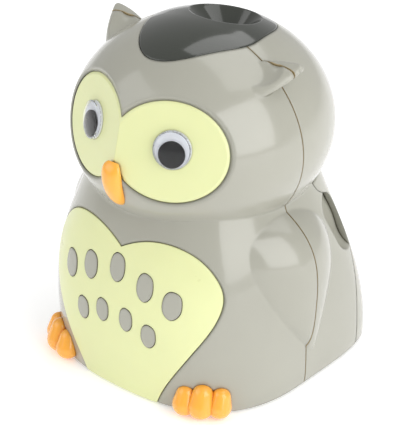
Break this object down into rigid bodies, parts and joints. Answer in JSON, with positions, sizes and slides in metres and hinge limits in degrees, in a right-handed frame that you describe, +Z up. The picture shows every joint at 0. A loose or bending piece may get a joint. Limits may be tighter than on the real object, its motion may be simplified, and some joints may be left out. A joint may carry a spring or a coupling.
{
  "type": "owl pencil sharpener",
  "caption": "Battery pencil sharpener shaped as an owl: pencil funnel in the cap on its head, shavings drawer pulling out of its back.",
  "frame": {"origin": "on the table, under the middle of the object's overall width and depth; the seam between the case shells is the plane y = 0", "axes": "-Y the way the owl faces, +X the owl's left side, +Z up along the pencil"},
  "size_m": [0.121, 0.1114, 0.146],
  "materials": {
    "shell_grey": "warm light grey, glossy moulded plastic",
    "cap_dark": "dark charcoal olive, glossy moulded plastic",
    "panel_cream": "pale cream yellow, satin to gloss moulded plastic",
    "trim_orange": "bright orange, glossy moulded plastic",
    "eye_white": "white card and plastic disc",
    "pupil_black": "black plastic disc",
    "eye_clear": "clear thin plastic dome",
    "base_dark": "dark grey moulded plastic, fine texture",
    "cell_jacket": "plain printed film jacket",
    "contact_metal": "nickel-plated spring steel",
    "foot_rubber": "black rubber",
    "screw_steel": "zinc-plated steel",
    "chassis_white": "natural white moulded plastic",
    "motor_can": "plated steel can",
    "shaft_steel": "ground steel",
    "pinion_brass": "turned brass",
    "gear_white": "natural acetal",
    "cutter_steel": "hardened tool steel",
    "guide_black": "black moulded plastic",
    "magnet_nickel": "nickel-plated magnet"
  },
  "bodies": {
    "case": {"front_shell": "shell_grey", "rear_shell": "shell_grey", "top_cap": "cap_dark", "face_plate": "panel_cream", "belly_plate": "panel_cream", "beak": "trim_orange", "left_foot": "trim_orange", "right_foot": "trim_orange", "left_eye_back": "eye_white", "right_eye_back": "eye_white", "left_eye_dome": "eye_clear", "right_eye_dome": "eye_clear", "base_plate": "base_dark", "battery_cells": "cell_jacket", "battery_contacts": "contact_metal", "rubber_feet": "foot_rubber", "base_screws": "screw_steel", "case_screws": "screw_steel", "mechanism_screws": "screw_steel", "lower_plate": "chassis_white", "upper_plate": "chassis_white", "motor": "motor_can", "compound_pin": "shaft_steel", "ring_gear": "chassis_white", "pencil_guide": "guide_black", "pencil_lever_pin": "shaft_steel", "pencil_switch": "guide_black", "drawer_switch": "guide_black"},
    "drawer": {"shavings_drawer": "shell_grey", "drawer_magnet": "magnet_nickel"},
    "battery_door": {"battery_door": "base_dark"},
    "motor_rotor": {"motor_shaft": "shaft_steel", "motor_pinion": "pinion_brass"},
    "compound": {"compound_gear": "gear_white"},
    "carrier": {"cutter_carrier": "gear_white", "cutter_pin": "shaft_steel"},
    "cutter": {"helical_cutter": "cutter_steel"},
    "pencil_lever": {"pencil_lever": "guide_black"},
    "left_pupil": {"left_pupil": "pupil_black"},
    "right_pupil": {"right_pupil": "pupil_black"}
  },
  "joints": [
    {"name": "drawer_slide", "type": "slide", "parent": "case", "child": "drawer", "axis": [0, 1, 0], "range_m": [0, 0.062]},
    {"name": "battery_door_hinge", "type": "hinge", "parent": "case", "child": "battery_door", "pos_m": [0, -0.0352, 0.0022], "axis": [-1, 0, 0], "range_deg": [0, 85]},
    {"name": "carrier_spin", "type": "hinge", "parent": "case", "child": "carrier", "pos_m": [0, 0.0175, 0.0838], "axis": [0, 0, 1], "continuous": true},
    {"name": "compound_spin", "type": "hinge", "parent": "case", "child": "compound", "pos_m": [-0.017, -0.00575, 0.081], "axis": [0, 0, 1], "continuous": true},
    {"name": "motor_spin", "type": "hinge", "parent": "case", "child": "motor_rotor", "pos_m": [-0.00404, -0.01202, 0.078], "axis": [0, 0, 1], "continuous": true},
    {"name": "cutter_spin", "type": "hinge", "parent": "carrier", "child": "cutter", "pos_m": [0.00985, 0.0175, 0.115], "axis": [0.1461, 0, 0.9893], "continuous": true},
    {"name": "pencil_lever_hinge", "type": "hinge", "parent": "case", "child": "pencil_lever", "pos_m": [0, 0.031, 0.1264], "axis": [1, 0, 0], "range_deg": [0, 9], "stiffness_Nm_per_rad": 0.002, "springref_deg": -11.46},
    {"name": "left_pupil_swing", "type": "hinge", "parent": "case", "child": "left_pupil", "pos_m": [0.01997, -0.03951, 0.11127], "axis": [0.4121, -0.8798, 0.2368], "continuous": true},
    {"name": "right_pupil_swing", "type": "hinge", "parent": "case", "child": "right_pupil", "pos_m": [-0.01997, -0.03951, 0.11127], "axis": [-0.4121, -0.8798, 0.2368], "continuous": true}
  ],
  "couplings": [
    {"joint": "compound_spin", "follows": "carrier_spin", "ratio": -5},
    {"joint": "motor_spin", "follows": "carrier_spin", "ratio": 13},
    {"joint": "cutter_spin", "follows": "carrier_spin", "ratio": -3}
  ]
}
